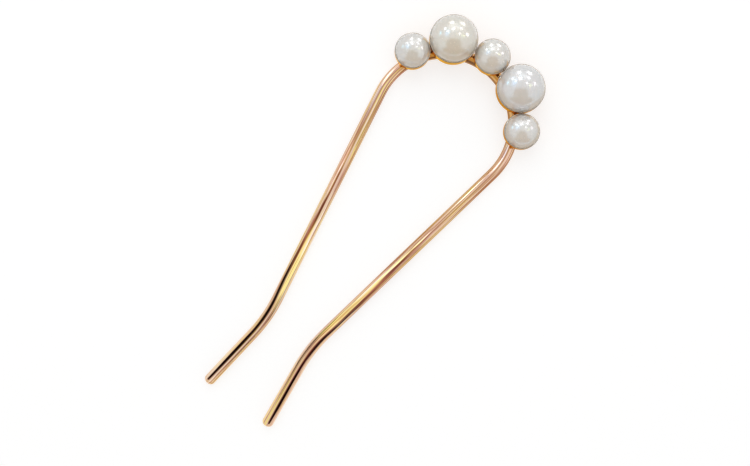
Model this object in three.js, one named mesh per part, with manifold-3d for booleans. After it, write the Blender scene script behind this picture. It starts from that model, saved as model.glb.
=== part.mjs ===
// A U-shaped hairpin: one bent wire fork whose arch carries a row of five pearls in round cups.
// Millimetres, +Z up. The pin lies on its back, with the wire on Z = 0 and the pearls facing up.
// The tips point to -Y and the arch to +Y. The origin is the middle of the footprint.
import * as THREE from "three";
import { mergeVertices } from "three/addons/utils/BufferGeometryUtils.js";
import Module from "manifold-3d";

const wasm = await Module();
wasm.setup();

const { degToRad } = THREE.MathUtils;

// Fork: a round wire bent flat, seen from above as an arch, two closing legs, a waist and two flared tips.
const wireDiameter = 2.7;
const archRadius = 16.8; // to the centre line of the wire
const legLean = degToRad(9.6); // each leg closes towards the other
const waistDrop = 64; // from the arch centre down to the waist
const waistBendRadius = 36; // to the centre line of the wire
const tipFlare = degToRad(7.4); // each tip opens away from the other
const tipDrop = 83.4; // from the arch centre down to the ends of the tips
const tipDome = 1.1; // length of the rounded end

// Pearls: a flat back, a skirt that fills the cup and a dome that rises from the level of the rim.
// The larger ones stand in deeper cups.
const smallPearl = { diameter: 8, dome: 3.8, cupHeight: 3 };
const largePearl = { diameter: 11, dome: 5.2, cupHeight: 3.8 };
const pearlEdge = 0.15; // bevel round the back

// Cups: pressed from thin sheet, flat underneath, with a rounded foot and a rolled rim.
const cupWall = 0.22;
const cupFloor = 0.35;
const cupFoot = 0.5; // radius of the outer corner at the foot
const pearlClearance = 0.03; // all round, between a pearl and its cup
const cupGap = 0.04; // between neighbouring cups

// Where the cups stand: outside the centre line of the wire, by their place in the row.
const centreOffset = 2.35;
const largeOffset = 2.8;
const endOffset = 1.6;

// Joints: a braze bead under each cup and an epoxy bond under each pearl.
const brazeLayer = 0.16; // between the top of the wire and the foot of a cup
const brazeWidth = 2.6; // where it wets the foot of a cup
const brazeMargin = 0.6; // how far it stops short of the edge of a cup
const brazeGrip = degToRad(64); // how far round the wire it creeps, from the top
const brazeEdge = 0.05; // its thickness where it ends on the wire
const bondLayer = 0.25;
const bondMargin = 0.3; // how far the bond stops short of the edge of a pearl
const fitGap = 0.02; // left between two pieces that meet

// Fineness of the faceted surfaces.
const wireSides = 16;
const wireStep = 2;
const domeRings = 5;
const turnedSides = 36;
const bondSides = 24;
const pearlRings = 9;
const cornerSteps = 3;
const brazeStep = 1;
const brazeSideSteps = 4;

const wireRadius = wireDiameter / 2;
const seatHeight = wireDiameter + brazeLayer;

const wirePlating = new THREE.MeshStandardMaterial({ color: 0xe0b183, roughness: 0.16, metalness: 1 });
const cupPlating = new THREE.MeshStandardMaterial({ color: 0xe3ad57, roughness: 0.2, metalness: 1 });
const brazeAlloy = new THREE.MeshStandardMaterial({ color: 0xd6a761, roughness: 0.35, metalness: 1 });
const nacre = new THREE.MeshStandardMaterial({ color: 0xe6e1d8, roughness: 0.22, metalness: 0 });
const epoxy = new THREE.MeshStandardMaterial({ color: 0xe9e4d2, roughness: 0.3, metalness: 0 });

// Solid from a closed geometry, with its shared vertices merged.
function solidOf(geometry) {
  const bare = geometry.clone();
  bare.deleteAttribute("normal");
  bare.deleteAttribute("uv");
  const merged = mergeVertices(bare);
  const vertProperties = merged.attributes.position.array;
  const triVerts = new Uint32Array(merged.index.array);
  return new wasm.Manifold(new wasm.Mesh({ numProp: 3, vertProperties, triVerts }));
}

// Geometry from a solid.
function geometryOf(solid) {
  const mesh = solid.getMesh();
  const geometry = new THREE.BufferGeometry();
  geometry.setAttribute("position", new THREE.BufferAttribute(mesh.vertProperties, 3));
  geometry.setIndex(new THREE.BufferAttribute(mesh.triVerts, 1));
  geometry.computeVertexNormals();
  return geometry;
}

function piece(name, geometry, material) {
  const mesh = new THREE.Mesh(geometry, material);
  mesh.name = name;
  return mesh;
}

// A flat path lifted to the middle of the wire, so that a section can be swept along it.
class WireLine extends THREE.Curve {
  constructor(path) {
    super();
    this.path = path;
  }

  getPoint(t, target = new THREE.Vector3()) {
    const point = this.path.getPoint(t);
    return target.set(point.x, point.y, wireRadius);
  }
}

function sweep(section, path, step) {
  const steps = Math.ceil(path.getLength() / step);
  return new THREE.ExtrudeGeometry(section, { extrudePath: new WireLine(path), steps, bevelEnabled: false });
}

// A point of a swept section, by how far it lies to the side of the wire's middle and above it.
function sectionPoint(side, up) {
  return new THREE.Vector2(-up, side);
}

// Round section with flat sides at the radius, one of them facing straight down.
const cornerRadius = (radius) => radius / Math.cos(Math.PI / wireSides);

function roundSection(radius) {
  const reach = cornerRadius(radius);
  const corners = Array.from({ length: wireSides }, (_, i) => {
    const angle = ((i + 0.5) / wireSides) * 2 * Math.PI;
    return sectionPoint(reach * Math.sin(angle), reach * Math.cos(angle));
  });
  return new THREE.Shape(corners);
}

// Part of the arch's centre line, from one side of an angle to the other.
function archPath(middle, halfAngle) {
  return new THREE.Path().absarc(0, 0, archRadius, middle + halfAngle, middle - halfAngle, true);
}

// Points of a profile along an elliptical arc, from one angle to another in degrees.
function profileArc(centre, radii, from, to, steps) {
  return Array.from({ length: steps + 1 }, (_, i) => {
    const angle = degToRad(from + ((to - from) * i) / steps);
    return [centre[0] + radii[0] * Math.cos(angle), centre[1] + radii[1] * Math.sin(angle)];
  });
}

// A profile of [radius, height] pairs, revolved about Y.
function revolved(profile, sides, startAngle = 0) {
  const points = profile.map(([radius, height]) => new THREE.Vector2(radius, height));
  return new THREE.LatheGeometry(points, sides, startAngle);
}

// The same, standing upright on its seat.
function turned(profile, sides) {
  return revolved(profile, sides).rotateX(Math.PI / 2);
}

// Fork wire, laid out on its right side about the arch centre.
// The waist is the corner that its bend rounds off.
const halfBend = (legLean + tipFlare) / 2;
const waist = new THREE.Vector2(archRadius / Math.cos(legLean) - waistDrop * Math.tan(legLean), -waistDrop);
const bendCentre = new THREE.Vector2(Math.cos(halfBend - tipFlare), Math.sin(halfBend - tipFlare))
  .multiplyScalar(waistBendRadius / Math.cos(halfBend))
  .add(waist);
const bendEnd = new THREE.Vector2(-Math.cos(tipFlare), -Math.sin(tipFlare))
  .multiplyScalar(waistBendRadius)
  .add(bendCentre);
const domeReach = Math.hypot(tipDome * Math.cos(tipFlare), wireRadius * Math.sin(tipFlare));
const tip = new THREE.Vector2(
  waist.x + (tipDrop - domeReach - waistDrop) * Math.tan(tipFlare),
  domeReach - tipDrop,
);

// Centre line from the left tip, up the left leg, over the arch and down to the right tip.
function forkPath() {
  return new THREE.Path()
    .moveTo(-tip.x, tip.y)
    .lineTo(-bendEnd.x, bendEnd.y)
    .absarc(-bendCentre.x, bendCentre.y, waistBendRadius, -tipFlare, legLean, false)
    .absarc(0, 0, archRadius, Math.PI + legLean, -legLean, true)
    .absarc(bendCentre.x, bendCentre.y, waistBendRadius, Math.PI - legLean, Math.PI + tipFlare, false)
    .lineTo(tip.x, tip.y);
}

// Rounded end of a leg, with its flats in line with those of the wire and a cone reaching back inside it.
function tipEnd(side) {
  const dome = profileArc([0, 0], [cornerRadius(wireRadius), tipDome], 0, 90, domeRings);
  return revolved([[0, -wireRadius], ...dome], wireSides, Math.PI / wireSides)
    .rotateZ(Math.PI + side * tipFlare)
    .translate(side * tip.x, tip.y, wireRadius);
}

// The bent wire, or the room that it takes with a clearance all round.
function bentWire(clearance = 0) {
  return solidOf(sweep(roundSection(wireRadius + clearance), forkPath(), wireStep));
}

function forkWire() {
  return geometryOf(bentWire().add(solidOf(tipEnd(-1))).add(solidOf(tipEnd(1))));
}

// Pieces of one seat, upright about their own axis, with the foot of the cup at Z = 0.
const cupBore = (pearl) => pearl.diameter / 2 + pearlClearance;
const cupRadius = (pearl) => cupBore(pearl) + cupWall;

function cup(pearl) {
  const bore = cupBore(pearl);
  const half = cupWall / 2;
  const foot = profileArc([cupRadius(pearl) - cupFoot, cupFoot], [cupFoot, cupFoot], -90, 0, cornerSteps);
  const rim = profileArc([bore + half, pearl.cupHeight - half], [half, half], 0, 180, cornerSteps);
  return turned([[0, 0], ...foot, ...rim, [bore, cupFloor], [0, cupFloor]], turnedSides);
}

function bondPad(pearl) {
  const edge = pearl.diameter / 2 - bondMargin;
  const bottom = cupFloor + fitGap;
  const top = cupFloor + bondLayer - fitGap;
  return turned([[0, bottom], [edge - bondLayer, bottom], [edge, top], [0, top]], bondSides);
}

function flatPearl(pearl) {
  const radius = pearl.diameter / 2;
  const back = cupFloor + bondLayer;
  const dome = profileArc([0, pearl.cupHeight], [radius, pearl.dome], 0, 90, pearlRings);
  return turned([[0, back], [radius - pearlEdge, back], [radius, back + pearlEdge], ...dome], turnedSides);
}

// Braze bead: hollow sides that run out along the foot of the cup above and the round of the wire below,
// trimmed short of the cup's edge and cut to the wire.
function brazeBead(seat) {
  const top = wireRadius + brazeLayer - fitGap;
  const creepRadius = cornerRadius(wireRadius + fitGap) + brazeEdge;
  const creepSide = creepRadius * Math.sin(brazeGrip);
  const creepUp = creepRadius * Math.cos(brazeGrip);
  const hollow = creepSide - (top - creepUp) / Math.tan(brazeGrip); // where the two run-outs would cross
  const right = new THREE.QuadraticBezierCurve(
    sectionPoint(brazeWidth / 2, top),
    sectionPoint(hollow, top),
    sectionPoint(creepSide, creepUp),
  ).getPoints(brazeSideSteps);
  const left = right.map((point) => new THREE.Vector2(point.x, -point.y)).reverse();
  const section = new THREE.Shape([...right, sectionPoint(0, 0), ...left]);
  const bead = solidOf(sweep(section, archPath(seat.angle, seat.halfAngle), brazeStep));
  const reach = seat.cupRadius - brazeMargin;
  const underCup = new THREE.CylinderGeometry(reach, reach, 2 * seatHeight, turnedSides)
    .rotateX(Math.PI / 2)
    .translate(seat.x, seat.y, 0);
  return geometryOf(bead.intersect(solidOf(underCup)).subtract(bentWire(fitGap)));
}

// Row of seats along the arch.
// Neighbouring cups stand side by side, so their sizes set the angles between them.
function angleBetween(pearlA, offsetA, pearlB, offsetB) {
  const a = archRadius + offsetA;
  const b = archRadius + offsetB;
  const apart = cupRadius(pearlA) + cupRadius(pearlB) + cupGap;
  return Math.acos((a ** 2 + b ** 2 - apart ** 2) / (2 * a * b));
}

function seatAt(name, pearl, offset, fromTop) {
  const angle = Math.PI / 2 - fromTop;
  const x = (archRadius + offset) * Math.cos(angle);
  const y = (archRadius + offset) * Math.sin(angle);
  const radius = cupRadius(pearl);
  return { name, pearl, angle, x, y, cupRadius: radius, halfAngle: Math.asin(radius / archRadius) };
}

const largeAngle = angleBetween(smallPearl, centreOffset, largePearl, largeOffset);
const endAngle = largeAngle + angleBetween(largePearl, largeOffset, smallPearl, endOffset);
const seats = [
  seatAt("end_left", smallPearl, endOffset, -endAngle),
  seatAt("large_left", largePearl, largeOffset, -largeAngle),
  seatAt("centre", smallPearl, centreOffset, 0),
  seatAt("large_right", largePearl, largeOffset, largeAngle),
  seatAt("end_right", smallPearl, endOffset, endAngle),
];

// Assembly.
const topReach = Math.max(...seats.map((seat) => seat.y + seat.cupRadius));

const hairpin = new THREE.Group();
hairpin.name = "hairpin";
hairpin.position.y = (tipDrop - topReach) / 2;
hairpin.add(piece("fork_wire", forkWire(), wirePlating));

for (const seat of seats) {
  const stack = new THREE.Group();
  stack.position.set(seat.x, seat.y, seatHeight);
  stack.rotation.z = seat.angle - Math.PI / 2;
  stack.add(piece(`cup_${seat.name}`, cup(seat.pearl), cupPlating));
  stack.add(piece(`bond_${seat.name}`, bondPad(seat.pearl), epoxy));
  stack.add(piece(`pearl_${seat.name}`, flatPearl(seat.pearl), nacre));
  hairpin.add(stack, piece(`braze_${seat.name}`, brazeBead(seat), brazeAlloy));
}

export default hairpin;
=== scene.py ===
import bpy
import numpy as np
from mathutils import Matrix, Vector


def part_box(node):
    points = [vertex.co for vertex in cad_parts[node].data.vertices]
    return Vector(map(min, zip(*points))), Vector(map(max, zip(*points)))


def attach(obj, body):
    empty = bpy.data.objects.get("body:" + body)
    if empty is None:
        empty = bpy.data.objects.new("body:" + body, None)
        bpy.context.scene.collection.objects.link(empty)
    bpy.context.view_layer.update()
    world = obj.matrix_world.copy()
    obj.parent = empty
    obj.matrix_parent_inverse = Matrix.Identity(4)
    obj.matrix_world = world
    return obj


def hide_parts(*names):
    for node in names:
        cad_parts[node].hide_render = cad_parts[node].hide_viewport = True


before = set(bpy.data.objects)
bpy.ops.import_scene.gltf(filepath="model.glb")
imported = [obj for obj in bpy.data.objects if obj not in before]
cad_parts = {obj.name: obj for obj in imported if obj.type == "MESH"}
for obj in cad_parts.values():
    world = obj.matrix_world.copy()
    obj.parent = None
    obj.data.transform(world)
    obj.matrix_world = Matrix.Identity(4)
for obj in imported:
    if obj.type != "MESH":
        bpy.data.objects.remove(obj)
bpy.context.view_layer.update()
scene = bpy.context.scene
mm = 0.001
deg = np.pi / 180
upward = np.array([0, 0, 1.0])
print("frame loaded:", len(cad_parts), "CAD nodes")


# Shader maths: one socket of a node tree. Arithmetic on it adds Math nodes, node() adds any other node.
class Link:
    def __init__(self, tree, socket=None):
        self.tree, self.socket = tree, socket

    # kind of node, its settings, the values or links of its inputs, and which output is wanted
    def node(self, kind, settings=None, inputs=None, out=0):
        made = self.tree.nodes.new(kind)
        for key, value in (settings or {}).items():
            setattr(made, key, value)
        for key, value in (inputs or {}).items():
            if isinstance(value, Link):
                self.tree.links.new(value.socket, made.inputs[key])
            else:
                made.inputs[key].default_value = value
        return Link(self.tree, made.outputs[out] if len(made.outputs) else None)

    def math(self, operation, a, b=0.0):
        return self.node("ShaderNodeMath", {"operation": operation}, {0: a, 1: b})

    def __add__(self, other):
        return self.math("ADD", self, other)

    def __sub__(self, other):
        return self.math("SUBTRACT", self, other)

    def __mul__(self, other):
        return self.math("MULTIPLY", self, other)

    def __truediv__(self, other):
        return self.math("DIVIDE", self, other)

    def __radd__(self, other):
        return self.math("ADD", other, self)

    def __rsub__(self, other):
        return self.math("SUBTRACT", other, self)

    def __rmul__(self, other):
        return self.math("MULTIPLY", other, self)

    # 0 below low, 1 above high, eased between
    def step(self, low, high):
        made = {"interpolation_type": "SMOOTHSTEP", "clamp": True}
        return self.node("ShaderNodeMapRange", made, {"Value": self, "From Min": low, "From Max": high})

    # colour a where this is 0, colour b where it is 1
    def mix(self, a, b):
        return self.node("ShaderNodeMix", {"data_type": "RGBA"}, {0: self, 6: a, 7: b}, 2)

    # where a point lies on the piece, and on its surface
    def at(self):
        return self.node("ShaderNodeTexCoord", None, None, "Object")

    def uv(self):
        return self.node("ShaderNodeUVMap", {"uv_map": "surface"})

    # the three parts of a vector
    def parts(self, vector):
        split = self.node("ShaderNodeSeparateXYZ", None, {0: vector}).socket.node
        return [Link(self.tree, socket) for socket in split.outputs]

    def vector(self, operation, a, b):
        return self.node("ShaderNodeVectorMath", {"operation": operation}, {0: a, 1: b})

    def length(self, vector):
        return self.node("ShaderNodeVectorMath", {"operation": "LENGTH"}, {0: vector}, "Value")

    # point on a circle by its share of a turn, raised by a run, so that noise there closes without a seam
    def circle(self, share, radius, run):
        turn = share * (2 * np.pi)
        spot = {0: self.math("COSINE", turn) * radius, 1: self.math("SINE", turn) * radius, 2: run}
        return self.node("ShaderNodeCombineXYZ", None, spot)

    def noise(self, at, scale, detail=3.0, rough=0.5):
        inputs = {"Vector": at, "Scale": scale, "Detail": detail, "Roughness": rough}
        return self.node("ShaderNodeTexNoise", None, inputs)

    def bump(self, strength, depth, height):
        return self.node("ShaderNodeBump", None, {"Strength": strength, "Distance": depth, "Height": height})

    def principled(self, inputs):
        return self.node("ShaderNodeBsdfPrincipled", None, inputs)

    # shader a where the factor is 0, shader b where it is 1
    def blend(self, factor, a, b):
        return self.node("ShaderNodeMixShader", None, {0: factor, 1: a, 2: b})


def rgb(red, green, blue):  # sRGB 0-255 to a linear colour
    c = np.array([red, green, blue]) / 255
    lin = np.where(c <= 0.04045, c / 12.92, ((c + 0.055) / 1.055) ** 2.4)
    return (*[float(x) for x in lin], 1.0)


# Lays colours over a base, each by where it shows, how much of it shows there, and the colour.
def layered(colour, layers):
    for where, much, tint in layers:
        colour = (where * much).mix(colour, tint)
    return colour


def newTree(owner):
    owner.use_nodes = True
    owner.node_tree.nodes.clear()
    return Link(owner.node_tree)


# A material: build(graph) returns its shader.
def finish(name, build):
    made = bpy.data.materials.new(name)
    graph = newTree(made)
    graph.node("ShaderNodeOutputMaterial", None, {"Surface": build(graph)})
    return made


# Mesh from a grid of points, rows by columns. Columns close round on themselves, and each end row is
# drawn together to its pole point, so the surface is closed. A share of each row and column is its UV.
def gridPiece(name, grid, poles, rowShare, sharp=40 * deg):
    rows, cols = grid.shape[:2]
    points = np.vstack([grid.reshape(-1, 3), poles])
    r, c = np.meshgrid(np.arange(rows - 1), np.arange(cols), indexing="ij")
    r, c = r.ravel(), c.ravel()
    n = (c + 1) % cols
    quads = np.stack([r * cols + c, r * cols + n, (r + 1) * cols + n, (r + 1) * cols + c], 1)
    k = np.arange(cols)
    first = np.stack([np.full(cols, rows * cols), (k + 1) % cols, k], 1)
    last = np.stack([np.full(cols, rows * cols + 1), k, (k + 1) % cols], 1)
    last[:, 1:] += (rows - 1) * cols
    quadUv = np.stack(
        [
            np.stack([c, c + 1, c + 1, c], 1) / cols,
            np.stack([rowShare[r], rowShare[r], rowShare[r + 1], rowShare[r + 1]], 1),
        ],
        2,
    )
    mid = (k + 0.5) / cols
    firstUv = np.stack([np.stack([mid, (k + 1) / cols, k / cols], 1), np.full((cols, 3), rowShare[0])], 2)
    lastUv = np.stack([np.stack([mid, k / cols, (k + 1) / cols], 1), np.full((cols, 3), rowShare[-1])], 2)
    # signed volume of the quads tells whether the faces point outwards
    a, b, d, e = [points[quads[:, corner]] - points.mean(0) for corner in range(4)]
    volume = np.sum(a * np.cross(b, d)) + np.sum(a * np.cross(d, e))
    if volume < 0:
        quads, first, last = quads[:, ::-1], first[:, ::-1], last[:, ::-1]
        quadUv, firstUv, lastUv = quadUv[:, ::-1], firstUv[:, ::-1], lastUv[:, ::-1]
    mesh = bpy.data.meshes.new(name)
    mesh.from_pydata(points.tolist(), [], quads.tolist() + first.tolist() + last.tolist())
    uv = mesh.uv_layers.new(name="surface")
    flat = np.concatenate([quadUv.reshape(-1), firstUv.reshape(-1), lastUv.reshape(-1)])
    uv.data.foreach_set("uv", flat.astype(np.float32))
    mesh.shade_smooth()
    mesh.set_sharp_from_angle(angle=sharp)
    mesh.update()
    made = bpy.data.objects.new(name, mesh)
    scene.collection.objects.link(made)
    return made


# Gives a finished piece its material, hangs it under the root body and hides the CAD node that it stands for.
def place(made, material, node):
    made.data.materials.append(material)
    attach(made, "root")
    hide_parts(node)


# Arc of points in the plane, by centre, radius and the angles of its two ends.
def arc(centre, radius, start, end, steps):
    turn = np.linspace(start, end, steps + 1)
    return np.array(centre) + radius * np.stack([np.cos(turn), np.sin(turn)], 1)


# Points on the straight line between two points, without the two.
def between(start, end, steps):
    return np.linspace(start, end, steps + 1)[1:-1]


# Length along a line of points, at each point.
def runOf(line):
    return np.concatenate([[0], np.cumsum(np.linalg.norm(np.diff(line, axis=0), axis=1))])


# Fork wire. Around, step and domeRings set how fine its mesh is, and uvLength is the run of wire for 1 of UV.
fork = dict(
    diameter=2.7 * mm, archRadius=16.8 * mm, legLean=9.6 * deg, waistDrop=64 * mm, waistBend=36 * mm,
    tipFlare=7.4 * deg, tipDrop=83.4 * mm, tipDome=1.1 * mm, around=48, step=1.0 * mm, domeRings=12,
    uvLength=10 * mm,
)
wireRadius = fork["diameter"] / 2
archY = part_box("fork_wire")[0].y + fork["tipDrop"]  # the tips reach this far below the arch centre


# Centre line of the fork, from the left tip over the arch to the right tip: the right half is an arc, a
# straight leg, a bend the other way and a straight tip, each tangent to the next. The left half mirrors it.
def forkLine():
    lean, flare, bend = fork["legLean"], fork["tipFlare"], fork["waistBend"]
    half = (lean + flare) / 2
    waistX = fork["archRadius"] / np.cos(lean) - fork["waistDrop"] * np.tan(lean)
    waist = np.array([waistX, -fork["waistDrop"]])
    bendCentre = waist + bend / np.cos(half) * np.array([np.cos(half - flare), np.sin(half - flare)])
    domeReach = np.hypot(fork["tipDome"] * np.cos(flare), wireRadius * np.sin(flare))
    drop = fork["tipDrop"] - domeReach
    tip = np.array([waist[0] + (drop - fork["waistDrop"]) * np.tan(flare), -drop])

    def steps(length):
        return int(np.ceil(length / fork["step"]))

    arch = arc((0, 0), fork["archRadius"], np.pi / 2, -lean, steps(fork["archRadius"] * (np.pi / 2 + lean)))
    elbow = arc(bendCentre, bend, np.pi - lean, np.pi + flare, steps(2 * bend * half))
    leg = np.linspace(arch[-1], elbow[0], steps(np.linalg.norm(arch[-1] - elbow[0])) + 1)
    end = np.linspace(elbow[-1], tip, steps(np.linalg.norm(elbow[-1] - tip)) + 1)
    right = np.concatenate([arch, leg[1:], elbow[1:], end[1:]])
    line = np.concatenate([right[:0:-1] * (-1, 1), right])
    return line + (0, archY)


# The wire: a circle carried along the centre line in the plane across it, which closes to a point at each
# end along a quarter ellipse.
def forkWire():
    line = forkLine()
    ahead = np.gradient(line, runOf(line), axis=0)
    ahead /= np.linalg.norm(ahead, axis=1, keepdims=True)
    dome = np.linspace(0, np.pi / 2, fork["domeRings"] + 1)[1:]
    reach = fork["tipDome"] * np.sin(dome)[:, None]
    start, end = line[0] - ahead[0] * reach, line[-1] + ahead[-1] * reach
    spots = np.concatenate([start[-2::-1], line, end[:-1]])
    rings = len(dome) - 1
    ways = np.concatenate([np.repeat(ahead[:1], rings, 0), ahead, np.repeat(ahead[-1:], rings, 0)])
    small = wireRadius * np.cos(dome)[:-1]
    radius = np.concatenate([small[::-1], np.full(len(line), wireRadius), small])
    turn = np.linspace(0, 2 * np.pi, fork["around"], endpoint=False)
    across = np.stack([-ways[:, 1], ways[:, 0], np.zeros(len(ways))], 1)
    ring = across[:, None] * np.cos(turn)[None, :, None] + upward * np.sin(turn)[None, :, None]
    middle = np.concatenate([spots, np.full((len(spots), 1), wireRadius)], 1)
    grid = middle[:, None] + radius[:, None, None] * ring
    poles = [[*start[-1], wireRadius], [*end[-1], wireRadius]]
    return gridPiece("forkWire", grid, poles, runOf(spots) / fork["uvLength"])


# Drawn wire with rose gold plating: lines and finer hairs along the wire, partly drawing marks and partly
# painted reflections, patches of pinker plating, handling haze, and an amber painted shade and reflection of
# the cups along the arch where the cups sit.
wireLook = dict(
    lineTurn=2.8, lineRun=0.45, hairsAndReflections=(1.6, 1.6, 0.7), patch=90.0, haze=420.0, wave=160.0,
    shadeFrom=3 * mm, shadeTo=8 * mm, bump=0.4, depth=0.05 * mm, grazing=rgb(255, 236, 220),
)


def wirePlating(graph):
    at = graph.at()
    around, along = graph.parts(graph.uv())[:2]
    # Lines and hairs along the wire: partly drawing marks, partly painted reflections of the surroundings.
    drawn = graph.circle(around, wireLook["lineTurn"], along * wireLook["lineRun"])
    drawnAndReflectedLines = graph.noise(drawn, 1.0, 2.0, 0.6)
    hairsAndReflections = graph.noise(graph.vector("MULTIPLY", drawn, wireLook["hairsAndReflections"]), 1.0, 1.0)
    patch = graph.noise(at, wireLook["patch"], 2.0)
    haze = graph.noise(at, wireLook["haze"], 4.0, 0.6)
    # Painted shade and reflection of the cups along the arch where the cups sit: amber, darker on the lines.
    shadeBand = graph.parts(at)[1].step(archY + wireLook["shadeFrom"], archY + wireLook["shadeTo"])
    archShadeColour = drawnAndReflectedLines.step(0.5, 0.58).mix(rgb(216, 164, 84), rgb(104, 64, 26))
    colour = layered(rgb(240, 212, 180), [
        (patch.step(0.35, 0.65), 1.0, rgb(235, 196, 174)),  # pinker patches
        (drawnAndReflectedLines.step(0.55, 0.61), 0.85, rgb(184, 128, 92)),  # dark lines: drawing marks and painted reflection
        (1 - drawnAndReflectedLines.step(0.41, 0.47), 0.8, rgb(244, 225, 136)),  # yellow lines: drawing marks and painted reflection
        (hairsAndReflections.step(0.57, 0.61), 0.7, rgb(158, 98, 68)),  # dark hairs: fine marks and painted reflection
        (1 - hairsAndReflections.step(0.36, 0.41), 0.7, rgb(250, 240, 222)),  # pale hairs: fine marks and painted highlight
        (shadeBand, 0.75, archShadeColour),
    ])
    rough = 0.05 + drawnAndReflectedLines.step(0.4, 0.8) * 0.03 + haze.step(0.5, 0.8) * 0.04
    height = drawnAndReflectedLines + graph.noise(at, wireLook["wave"], 1.0) * 2.0
    bump = graph.bump(wireLook["bump"], wireLook["depth"], height)
    return graph.principled({
        "Base Color": colour, "Metallic": 1.0, "Roughness": rough, "Normal": bump,
        "Specular Tint": wireLook["grazing"],
    })


platedWire = finish("rosePlatedWire", wirePlating)
place(forkWire(), platedWire, "fork_wire")
print("wire done")


# Seats along the arch, as in the CAD: small, large, small, large, small. Around, rings and steps set how fine
# the meshes are, and warmth how cream each pearl is.
names = ["end_left", "large_left", "centre", "large_right", "end_right"]
pearls = dict(
    small=dict(diameter=8 * mm, dome=3.8 * mm, cup=3.0 * mm),
    large=dict(diameter=11 * mm, dome=5.2 * mm, cup=3.8 * mm),
    edge=0.15 * mm, around=96, rings=40, edgeSteps=6, backSteps=5, skirtSteps=4,
    warmth=dict(end_left=0.6, large_left=1.0, centre=0.7, large_right=0.2, end_right=0.5),
)
cups = dict(
    wall=0.22 * mm, floor=0.35 * mm, foot=0.5 * mm, clearance=0.03 * mm, lipGap=0.006 * mm,
    fillet=0.2 * mm, around=96, cornerSteps=10, footSteps=7, wallSteps=6, floorSteps=5,
)
bond = dict(layer=0.25 * mm)
braze = dict(
    layer=0.16 * mm, width=2.6 * mm, margin=0.6 * mm, grip=64 * deg, edge=0.05 * mm, gap=0.02 * mm,
    spanShare=0.96, roomShare=0.92, leastGrip=0.05, leastHollow=0.2, sharp=55 * deg,
    stations=41, sideSteps=10, saddleSteps=16,
)
cupFootZ = fork["diameter"] + braze["layer"]


def seatOf(name):
    low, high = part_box("cup_" + name)
    return np.array([(low.x + high.x) / 2, (low.y + high.y) / 2, cupFootZ])


def sizeOf(name):
    return pearls["large" if "large" in name else "small"]


def cupRadius(size):
    return size["diameter"] / 2 + cups["clearance"] + cups["wall"]


# A profile of radius and height turned about an upright axis through the seat. Its first and last points
# lie on the axis and become the poles.
def turned(name, profile, seat, around):
    turn = np.linspace(0, 2 * np.pi, around, endpoint=False)
    circle = np.stack([np.cos(turn), np.sin(turn), np.zeros(around)], 1)
    ring = profile[1:-1, 0, None, None] * circle[None] + profile[1:-1, 1, None, None] * upward
    poles = np.array([[0, 0, profile[0, 1]], [0, 0, profile[-1, 1]]]) + seat
    return gridPiece(name, ring + seat, poles, runOf(profile[1:-1]) / mm)


# Cup: flat foot, rounded corner, upright wall, a half round rim burnished in against the pearl, and inside it
# the bore and a small fillet down to the floor.
def cup(name):
    size, steps = sizeOf(name), cups["cornerSteps"]
    bore, fill = size["diameter"] / 2 + cups["clearance"], cups["fillet"]
    outer = bore + cups["wall"]
    lip = size["diameter"] / 2 + cups["lipGap"]
    half = (outer - lip) / 2
    corner = arc((outer - cups["foot"], cups["foot"]), cups["foot"], -np.pi / 2, 0, steps)
    rim = arc((lip + half, size["cup"] - half), half, 0, np.pi, steps)
    bulge = np.array([[lip, size["cup"] - 2 * half], [bore, size["cup"] - 4 * half]])
    inner = arc((bore - fill, cups["floor"] + fill), fill, 0, -np.pi / 2, steps)
    start, end = np.array([[0, 0]]), np.array([[0, cups["floor"]]])
    under = between(start[0], corner[0], cups["footSteps"])
    wall = between(corner[-1], rim[0], cups["wallSteps"])
    bed = between(inner[-1], end[0], cups["floorSteps"])
    profile = np.concatenate([start, under, corner, wall, rim, bulge, inner, bed, end])
    return turned("cup_" + name + "_pressed", profile, seatOf(name), cups["around"])


# Pearl: flat back, small rounded edge, a skirt that fills the cup, then a quarter ellipse from the rim to
# the crown.
def flatPearl(name):
    size = sizeOf(name)
    radius, edge = size["diameter"] / 2, pearls["edge"]
    back = cups["floor"] + bond["layer"]
    start = np.array([[0, back]])
    corner = arc((radius - edge, back + edge), edge, -np.pi / 2, 0, pearls["edgeSteps"])
    under = between(start[0], corner[0], pearls["backSteps"])
    skirt = np.linspace(corner[-1], (radius, size["cup"]), pearls["skirtSteps"] + 1)[1:]
    rise = np.linspace(0, np.pi / 2, pearls["rings"] + 1)[1:]
    dome = np.stack([radius * np.cos(rise), size["cup"] + size["dome"] * np.sin(rise)], 1)
    dome[-1, 0] = 0
    profile = np.concatenate([start, under, corner, skirt, dome])
    return turned("pearl_" + name + "_domed", profile, seatOf(name), pearls["around"])


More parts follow.
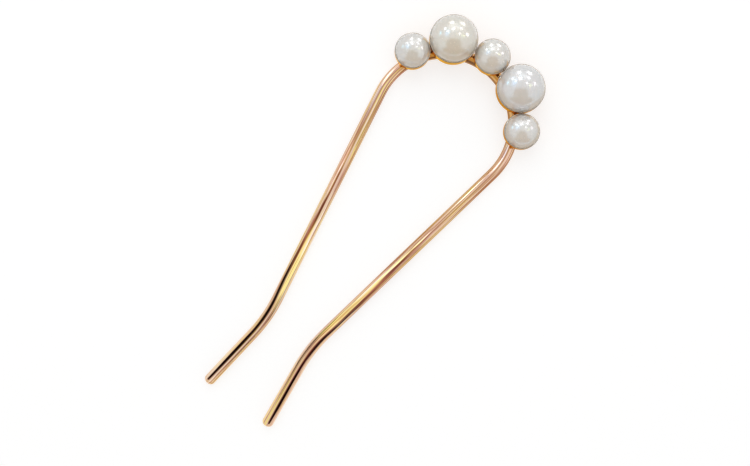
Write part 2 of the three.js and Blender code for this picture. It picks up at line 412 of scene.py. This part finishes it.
# Braze bead: along the arch, a section whose saddle follows the wire, whose top lies under the cup and whose
# two sides are hollow curves that run out along both. Each side narrows where the cup's foot ends.
def brazeBead(name):
    seat, size = seatOf(name), sizeOf(name)
    reach = cupRadius(size) - braze["margin"]
    away = np.array([seat[0], seat[1] - archY])
    seatRadius, seatTurn = np.linalg.norm(away), np.arctan2(away[1], away[0])
    bendRadius = fork["archRadius"]
    span = np.arccos((bendRadius**2 + seatRadius**2 - reach**2) / (2 * bendRadius * seatRadius))
    share = np.linspace(-braze["spanShare"], braze["spanShare"], braze["stations"])
    turn = share * span
    chord = np.sqrt(np.maximum(reach**2 - (seatRadius * np.sin(turn)) ** 2, 0))
    room = bendRadius - (seatRadius * np.cos(turn) - chord)  # how far inwards the cup's foot reaches
    outward = braze["width"] / 2 * np.sqrt(1 - share**4)  # tapered to both ends
    inward = np.minimum(outward, braze["roomShare"] * room)
    top = wireRadius + braze["layer"] - braze["gap"]
    saddleRadius = wireRadius + braze["gap"]
    creep = saddleRadius + braze["edge"]
    t = np.linspace(0, 1, braze["sideSteps"] + 1)[None, :, None]

    # one hollow side, from under the cup down to the wire, as a quadratic curve for every station
    def side(width):
        grip = np.arcsin(width * np.sin(braze["grip"]) / (braze["width"] / 2))
        foot = np.stack([creep * np.sin(grip), creep * np.cos(grip)], 1)
        cross = foot[:, 0] - (top - foot[:, 1]) / np.tan(np.maximum(grip, braze["leastGrip"]))
        cross = np.clip(cross, braze["leastHollow"] * foot[:, 0], foot[:, 0])
        level = np.full(len(width), top)
        begin, bendPoint = np.stack([width, level], 1), np.stack([cross, level], 1)
        curve = (1 - t) ** 2 * begin[:, None] + 2 * t * (1 - t) * bendPoint[:, None] + t**2 * foot[:, None]
        return curve, grip

    outSide, outGrip = side(outward)
    inSide, inGrip = side(inward)
    saddleShare = np.linspace(0, 1, braze["saddleSteps"] + 1)
    around = outGrip[:, None] - (outGrip + inGrip)[:, None] * saddleShare
    saddle = saddleRadius * np.stack([np.sin(around), np.cos(around)], 2)
    inSide = inSide[:, ::-1] * np.array([-1, 1])
    section = np.concatenate([outSide, saddle, inSide], 1)
    radial, height = bendRadius + section[:, :, 0], wireRadius + section[:, :, 1]
    spread = (seatTurn - turn)[:, None]
    grid = np.stack([radial * np.cos(spread), archY + radial * np.sin(spread), height], 2)
    poles = np.stack([grid[0].mean(0), grid[-1].mean(0)])
    return gridPiece("braze_" + name + "_bead", grid, poles, turn * bendRadius / mm, braze["sharp"])


# Level distance of a point from an upright line through a spot.
def awayFrom(graph, at, spot):
    off = graph.vector("SUBTRACT", at, tuple(spot))
    return graph.length(graph.vector("MULTIPLY", off, (1, 1, 0)))


# Pressed cups with yellow gold plating: fine rings from the polishing wheel, bands round the wall, painted
# shade darker towards the foot and where two cups meet, and a near white painted highlight on the rim, with
# painted shade on its outer half.
cupLook = dict(
    rings=(3.0, 14.0), patch=260.0, bandTurn=1.8, bandRun=0.12, bandShift=7.0, rimGlintFrom=0.28 * mm,
    rimGlintTo=0.1 * mm, shadeFrom=0.1 * mm, shadeTo=1.2 * mm, meetFrom=0.6 * mm, meetTo=2.2 * mm,
    rimShadeFrom=0.15 * mm, rimShadeTo=0.1 * mm, bump=0.2, depth=0.01 * mm, grazing=rgb(255, 212, 58),
)


def cupPlating(graph, name):
    seat, size, order = seatOf(name), sizeOf(name), names.index(name)
    rimZ, radius = cupFootZ + size["cup"], cupRadius(size)
    at = graph.at()
    height = graph.parts(at)[2]
    around, run = graph.parts(graph.uv())[:2]
    ringAround, ringRun = cupLook["rings"]
    wheel = graph.node("ShaderNodeCombineXYZ", None, {0: around * ringAround, 1: run * ringRun})
    rings = graph.noise(wheel, 1.0, 3.0)
    patch = graph.noise(at, cupLook["patch"], 3.0)
    bandRun = run * cupLook["bandRun"] + order * cupLook["bandShift"]
    bands = graph.noise(graph.circle(around, cupLook["bandTurn"], bandRun), 1.0, 2.0)
    # Painted shade: the wall darker towards the foot, where the cup stands on the wire.
    shadeBand = 1 - height.step(cupFootZ + cupLook["shadeFrom"], cupFootZ + cupLook["shadeTo"])
    colour = layered(rgb(240, 196, 106), [
        (patch.step(0.35, 0.65), 1.0, rgb(236, 188, 96)),  # deeper patches
        (rings.step(0.5, 0.8), 0.4, rgb(212, 156, 68)),  # polishing rings
        (1 - bands.step(0.38, 0.48), 0.5, rgb(250, 222, 156)),  # pale bands
        (bands.step(0.5, 0.62), 0.6, rgb(190, 132, 56)),  # dark bands
        (shadeBand, 0.6, rgb(184, 108, 48)),
    ])
    # Painted shade on the wall where two cups meet.
    for other in names[max(order - 1, 0) : order] + names[order + 1 : order + 2]:
        way = seatOf(other) - seat
        gap = awayFrom(graph, at, seat + way / np.linalg.norm(way) * radius)
        meetShade = 1 - gap.step(cupLook["meetFrom"], cupLook["meetTo"])
        colour = layered(colour, [(meetShade, 0.6, rgb(110, 72, 28))])
    # The rim's near white colour is a painted highlight, greyer on its outer half as painted shade.
    rimShade = awayFrom(graph, at, seat).step(radius - cupLook["rimShadeFrom"], radius - cupLook["rimShadeTo"])
    rimGlintColour = patch.mix(rgb(252, 249, 243), rgb(247, 241, 230))
    rimGlintColour = rimShade.mix(rimGlintColour, rgb(168, 156, 144))
    rough = 0.14 + rings.step(0.4, 0.8) * 0.08 + patch.step(0.5, 0.8) * 0.06
    bump = graph.bump(cupLook["bump"], cupLook["depth"], rings)
    metal = {"Metallic": 1.0, "Roughness": rough, "Normal": bump}
    wall = graph.principled({"Base Color": colour, "Specular Tint": cupLook["grazing"], **metal})
    rim = graph.principled({"Base Color": rimGlintColour, **metal})
    # The painted highlight covers the top of the rim.
    rimGlint = height.step(rimZ - cupLook["rimGlintFrom"], rimZ - cupLook["rimGlintTo"])
    return graph.blend(rimGlint, wall, rim)


# Braze alloy under the cups: brassy, duller than the plating, with pits and a flow texture.
alloyLook = dict(flow=900.0, pits=2600.0, bump=0.3, depth=0.03 * mm)


def brazeAlloy(graph):
    at = graph.at()
    flow = graph.noise(at, alloyLook["flow"], 4.0, 0.6)
    pits = graph.node("ShaderNodeTexVoronoi", None, {"Vector": at, "Scale": alloyLook["pits"]})
    colour = flow.step(0.35, 0.7).mix(rgb(222, 172, 98), rgb(196, 140, 70))
    rough = 0.26 + flow.step(0.4, 0.8) * 0.18
    bump = graph.bump(alloyLook["bump"], alloyLook["depth"], flow + pits.step(0.1, 0.4) * 0.5)
    return graph.principled({"Base Color": colour, "Metallic": 1.0, "Roughness": rough, "Normal": bump})


# Nacre lacquer: a silky pigment under a clear gloss, white to cream by warmth, with faint rose and green
# clouds, a dusty grain and a fine orange peel.
nacreLook = dict(
    cool=rgb(232, 233, 235), warm=rgb(236, 232, 222), rose=(1.0, 0.97, 0.97, 1), green=(0.93, 0.96, 0.94, 1),
    dust=(0.86, 0.83, 0.78, 1), roseScale=260.0, greenScale=430.0, grain=2400.0, peel=1300.0, bump=0.5,
    depth=0.022 * mm, silk=0.24, scatter=5.0 * mm, scatterTint=(1.0, 0.95, 0.9), coat=0.7, coatRough=0.08,
    coatIor=1.7,
)


def nacre(graph, warmth):
    at = graph.at()
    roseCloud = graph.noise(at, nacreLook["roseScale"], 3.0)
    greenCloud = graph.noise(at, nacreLook["greenScale"], 2.0, 0.6)
    grain = graph.noise(at, nacreLook["grain"], 4.0, 0.6)
    plain = np.array(nacreLook["cool"]) * (1 - warmth) + np.array(nacreLook["warm"]) * warmth
    colour = layered(plain, [
        (roseCloud.step(0.35, 0.65), 1.0, plain * nacreLook["rose"]),
        (greenCloud.step(0.5, 0.75), 0.5, plain * nacreLook["green"]),
        (grain.step(0.45, 0.75), 0.3, plain * nacreLook["dust"]),
    ])
    rough = 0.21 + grain.step(0.4, 0.7) * 0.07
    height = graph.noise(at, nacreLook["peel"], 2.0) + grain * 0.2
    bump = graph.bump(nacreLook["bump"], nacreLook["depth"], height)
    return graph.principled({
        "Base Color": colour, "Metallic": nacreLook["silk"], "Roughness": rough, "Normal": bump,
        "Subsurface Weight": 1.0, "Subsurface Radius": nacreLook["scatterTint"],
        "Subsurface Scale": nacreLook["scatter"], "Coat Weight": nacreLook["coat"],
        "Coat Roughness": nacreLook["coatRough"], "Coat IOR": nacreLook["coatIor"],
    })


# Epoxy under the pearls: clear and slightly yellow, with a few trapped bubbles.
epoxyLook = dict(swirl=700.0, bubbles=1800.0, ior=1.55)


def bondEpoxy(graph):
    at = graph.at()
    bubbles = graph.node("ShaderNodeTexVoronoi", None, {"Vector": at, "Scale": epoxyLook["bubbles"]})
    swirl = graph.noise(at, epoxyLook["swirl"], 3.0)
    colour = swirl.mix(rgb(236, 230, 208), rgb(224, 214, 184))
    colour = (1 - bubbles.step(0.1, 0.3)).mix(colour, rgb(246, 243, 232))
    return graph.principled({"Base Color": colour, "Roughness": 0.2 + swirl * 0.2, "IOR": epoxyLook["ior"]})


alloy = finish("brazeAlloy", brazeAlloy)
epoxy = finish("bondEpoxy", bondEpoxy)

for name in names:
    plating = finish("gold_" + name, lambda graph: cupPlating(graph, name))
    place(cup(name), plating, "cup_" + name)
    lacquer = finish("nacre_" + name, lambda graph: nacre(graph, pearls["warmth"][name]))
    place(flatPearl(name), lacquer, "pearl_" + name)
    place(brazeBead(name), alloy, "braze_" + name)
    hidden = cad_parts["bond_" + name]  # the bond keeps its CAD shape, under its pearl
    hidden.data.materials.clear()
    hidden.data.materials.append(epoxy)
print("cups, pearls and joints done")


# Camera: straight above the pin, turned so that the fork lies across the picture's diagonal. Scale is the
# size of a pixel at the wire.
shot = dict(
    turn=36.43 * deg, x=2.37 * mm, y=-0.765 * mm, height=300 * mm, scale=0.239 * mm, width=750,
    sensor=36, clip=(0.01, 20),
)
camera = bpy.data.objects.new("camera", bpy.data.cameras.new("camera"))
camera.data.sensor_width = shot["sensor"]
camera.data.lens = shot["sensor"] * (shot["height"] / shot["scale"]) / shot["width"]
camera.data.clip_start, camera.data.clip_end = shot["clip"]
camera.location = (shot["x"], shot["y"], wireRadius + shot["height"])
camera.rotation_euler = (0, 0, shot["turn"])
scene.collection.objects.link(camera)
scene.camera = camera
imageRight = np.array([np.cos(shot["turn"]), np.sin(shot["turn"]), 0])
imageUp = np.array([-np.sin(shot["turn"]), np.cos(shot["turn"]), 0])
print("camera done, lens", round(camera.data.lens, 2))


# Flat sheet about its middle, by the way from there to two of its edges, for the floor and the cards.
def sheetOf(name, middle, sideA, sideB):
    corners = np.array([[-1, -1], [1, -1], [1, 1], [-1, 1]])
    points = np.array(middle) + corners @ np.array([sideA, sideB])
    mesh = bpy.data.meshes.new(name)
    mesh.from_pydata(points.tolist(), [], [[0, 1, 2, 3]])
    uv = mesh.uv_layers.new(name="surface")
    uv.data.foreach_set("uv", ((corners + 1) / 2).ravel().astype(np.float32))
    made = bpy.data.objects.new(name, mesh)
    scene.collection.objects.link(made)
    return made


# Share of the rays that come from the camera, or from a mirror or clear surface.
def seenRays(graph):
    rays = graph.node("ShaderNodeLightPath").socket.node.outputs
    kinds = ("Is Camera Ray", "Is Glossy Ray", "Is Transmission Ray")
    eye, gloss, clear = [Link(graph.tree, rays[kind]) for kind in kinds]
    return graph.math("MAXIMUM", eye, graph.math("MAXIMUM", gloss, clear))


# Floor: white paper. A little light of its own fills it up to white for the camera and for reflections, and
# the shadow of the pin still shows on it.
floorLook = dict(size=4.0, below=0.01 * mm, paper=0.42, fresh=1.02, fibre=900.0, glow=0.7)


def whitePaper(graph):
    fibre = graph.noise(graph.at(), floorLook["fibre"], 4.0)
    dull, fresh = floorLook["paper"], floorLook["paper"] * floorLook["fresh"]
    colour = fibre.mix((dull, dull, dull, 1), (fresh, fresh, fresh, 1))
    matte = graph.node("ShaderNodeBsdfDiffuse", None, {"Color": colour})
    glow = graph.node("ShaderNodeEmission", None, {"Strength": seenRays(graph) * floorLook["glow"]})
    return graph.node("ShaderNodeAddShader", None, {0: matte, 1: glow})


floor = sheetOf("floor", (0, 0, -floorLook["below"]), (floorLook["size"], 0, 0), (0, floorLook["size"], 0))
floor.data.materials.append(finish("whitePaper", whitePaper))

# World: an even white tent. It shows white, and lights the object at a plain level.
studio = dict(
    tent=0.62, tentTint=(1.0, 0.985, 0.965, 1), tentSeen=(1, 1, 1, 1),
    key=0.5, keyTint=(0.9, 0.975, 1.06), keySize=0.45, keyDistance=0.55, keyTilt=35 * deg,
)
scene.world = bpy.data.worlds.new("tent")
graph = newTree(scene.world)
seen = seenRays(graph)
tint = seen.mix(studio["tentTint"], studio["tentSeen"])
level = studio["tent"] + seen * (1 - studio["tent"])
tent = graph.node("ShaderNodeBackground", None, {"Color": tint, "Strength": level})
graph.node("ShaderNodeOutputWorld", None, {"Surface": tent})

# Key: one soft panel from the picture's upper side. Its reflections come from the cards instead.
keyWay = np.cos(studio["keyTilt"]) * upward + np.sin(studio["keyTilt"]) * imageUp
key = bpy.data.objects.new("key", bpy.data.lights.new("key", "AREA"))
key.data.shape, key.data.size = "DISK", studio["keySize"]
key.data.energy, key.data.color = studio["key"], studio["keyTint"]
key.location = keyWay * studio["keyDistance"]
key.rotation_mode = "QUATERNION"
key.rotation_quaternion = key.location.to_track_quat("Z", "Y")
key.visible_glossy = False
key.visible_camera = False
scene.collection.objects.link(key)


# Leaves a card or sheet to polished surfaces alone.
def glossOnly(made):
    made.visible_camera = made.visible_diffuse = made.visible_shadow = False
    made.visible_volume_scatter = made.visible_transmission = False


# Direction in the picture's terms: right, up and towards the camera.
def wayOf(right, up, out):
    way = right * imageRight + up * imageUp + out * upward
    return way / np.linalg.norm(way)


# Card: a flat glowing sheet about its middle, by its width and height as vectors. It is an oval, full from
# its middle out to the share soft of its half size, and fades from there to its edge.
def card(name, middle, wide, tall, colour, strength, soft):
    def glowing(graph):
        far = graph.length(graph.vector("SUBTRACT", graph.uv(), (0.5, 0.5, 0)))
        shine = graph.node("ShaderNodeEmission", None, {"Color": (*colour, 1), "Strength": strength})
        clear = graph.node("ShaderNodeBsdfTransparent")
        return graph.blend(1 - far.step(soft / 2, 0.5), clear, shine)

    made = sheetOf(name, middle, wide / 2, tall / 2)
    made.data.materials.append(finish(name, glowing))
    glossOnly(made)


# Lamps that the pearls mirror, square to the pin: two panels low on the picture's upper side, a few small
# lamps higher up and four tinted sheets, each by its way, width and height in m, colour and strength.
lampAway, lampSoft = 0.5, 0.2
lamps = dict(
    panelLeft=(wayOf(-0.07, 0.97, 0.24), 0.2, 0.2, (0.95, 0.98, 1), 4.6),
    panelRight=(wayOf(0.5, 0.85, 0.12), 0.225, 0.225, (0.95, 0.98, 1), 4.6),
    lampA=(wayOf(-0.55, 0.69, 0.47), 0.15, 0.15, (0.8, 0.95, 1.05), 5.1),
    lampB=(wayOf(-0.42, 0.52, 0.74), 0.125, 0.125, (0.8, 0.95, 1.05), 5.1),
    lampC=(wayOf(-0.06, 0.68, 0.73), 0.15, 0.15, (0.88, 0.97, 1.03), 6.4),
    lampD=(wayOf(0.4, 0.36, 0.84), 0.125, 0.125, (0.92, 0.96, 1), 5.1),
    lampE=(wayOf(0.85, 0.3, 0.42), 0.163, 0.163, (0.94, 0.92, 1), 5.1),
    lampF=(wayOf(0.5, 0.67, 0.55), 0.138, 0.138, (0.92, 0.96, 1), 5.1),
    blueSheet=(wayOf(-0.87, 0.42, 0.3), 0.18, 0.14, (0.4, 0.8, 1), 4.0),
    limeSheet=(wayOf(0.64, 0.19, 0.75), 0.12, 0.12, (0.9, 1, 0.6), 4.0),
    cloudSheet=(wayOf(0.06, 0.8, 0.6), 0.74, 0.42, (0.98, 1.02, 1.06), 1.7),
    skySheet=(wayOf(-0.5, 0.42, 0.75), 0.42, 0.3, (0.68, 1.02, 1.42), 1.7),
)
for name, (way, wide, tall, colour, strength) in lamps.items():
    side = np.cross((0, 0, 1), way)
    side /= np.linalg.norm(side)
    card(name, way * lampAway, side * wide, np.cross(way, side) * tall, colour, strength, lampSoft)

# Warm surroundings, mostly on the picture's lower side: a wall, a ceiling and a paper on the floor under the
# arch, each by its middle, its width and height as vectors, its colour and how soft its edge is.
beige, cream = (0.62, 0.46, 0.28), (0.73, 0.6, 0.45)
warmWay = wayOf(-0.08, -0.54, 0.84)
warmRise = wayOf(0, 0.84, 0.54)
surroundings = dict(
    warmWall=(wayOf(0, -1, 0) * 0.5 + upward * 0.1, imageRight * 1.3, upward * 0.9, beige, 0.84),
    warmCeiling=(warmWay * 0.5, imageRight * 0.84, warmRise * 0.74, beige, 0.72),
    warmPaper=(np.array([18, 22, 0.02]) * mm, imageRight * 90 * mm, imageUp * 70 * mm, cream, 0.6),
)
for name, (middle, wide, tall, colour, soft) in surroundings.items():
    card(name, middle, wide, tall, colour, 1.0, soft)

# Painted sheet close above the legs, which draws the lines along the polished wire: pale, with soft patches.
# Each is laid out along a leg: the leg (both, left or right), its middle outwards from the leg and down from
# the arch's centre and half sizes in those two ways, in mm, its colour and how much of it shows. Middle and
# half give the sheet itself, in mm, and its upper end is clear.
pale, white, yellow = (0.92, 0.87, 0.84, 1), (1.5, 1.6, 1.75, 1), (1.2, 1.26, 0.7, 1)
rust, umber, black = (0.45, 0.21, 0.21, 1), (0.22, 0.08, 0.08, 1), (0.008, 0.005, 0.005, 1)
painted = dict(
    height=10 * mm, middle=(0, -28), half=(80, 52), clearFrom=16 * mm, clearTo=24 * mm, edge=(0.55, 1.1),
    seam=1 * mm,
    patches=[
        ("both", -12, 23, 3.5, 5, rust, 0.6), ("both", 0.8, 29, 3.2, 9, rust, 0.9),
        ("both", 2.4, 36, 4.5, 6.5, umber, 0.95), ("both", 8, 43, 11, 8, rust, 0.95),
        ("both", 12, 49, 13, 7, umber, 0.9), ("both", 10, 62, 13, 9, rust, 0.9),
        ("both", 5.5, 74, 9, 16, rust, 0.9), ("both", -5, 74, 3.5, 10, pale, 0.9),
        ("left", 20, 56, 21, 7, black, 1), ("left", 8, 62, 8.5, 7, black, 1),
        ("right", 25, 56, 22, 7, black, 1), ("right", 14, 61, 13, 6, black, 1),
        ("left", 5.3, 74, 7.2, 16, black, 1), ("right", 6.2, 75, 7.2, 14, black, 1),
        ("both", -3.5, 49, 6.5, 13, yellow, 1), ("both", -8, 40, 5, 6, white, 0.6),
        ("both", -6.5, 61, 2.4, 7, rust, 0.7),
        ("right", -3.5, 25, 2.2, 3.5, white, 1), ("right", -6, 33, 4, 6, white, 1),
        ("right", 4, 12, 6, 9, yellow, 0.6), ("left", 8, 21, 7, 5, white, 1),
        ("left", 24, 28, 20, 6, white, 0.6),
    ],
)


def paintedLook(graph):
    across, run = graph.parts(graph.at())[:2]
    down = (archY - run) / mm
    lean, flare = float(np.tan(fork["legLean"])), float(np.tan(fork["tipFlare"]))
    legOut = float(fork["archRadius"] / np.cos(fork["legLean"]) / mm)
    waistDown = fork["waistDrop"] / mm
    upper = legOut - down * lean
    lower = (legOut - waistDown * lean) + (down - waistDown) * flare
    outward = graph.math("ABSOLUTE", across) / mm - graph.math("MAXIMUM", upper, lower)
    laid = graph.node("ShaderNodeCombineXYZ", None, {0: outward, 1: down})
    onRight = across.step(-painted["seam"], painted["seam"])
    sides = dict(both=1.0, right=onRight, left=1 - onRight)
    layers = []
    for leg, out, drop, wide, tall, tint, much in painted["patches"]:
        off = graph.vector("DIVIDE", graph.vector("SUBTRACT", laid, (out, drop, 0)), (wide, tall, 1))
        where = 1 - graph.length(off).step(*painted["edge"])
        layers.append((where * sides[leg], much, tint))
    shine = graph.node("ShaderNodeEmission", None, {"Color": layered(pale, layers)})
    clear = graph.node("ShaderNodeBsdfTransparent")
    return graph.blend(run.step(painted["clearFrom"], painted["clearTo"]), shine, clear)


sheetX, sheetY = painted["middle"]
halfX, halfY = painted["half"]
sheet = sheetOf(
    "paintedSheet", (sheetX * mm, sheetY * mm, painted["height"]), (halfX * mm, 0, 0), (0, halfY * mm, 0)
)
sheet.data.materials.append(finish("paintedSheet", paintedLook))
glossOnly(sheet)
print("studio done")

scene.view_settings.view_transform = "Standard"
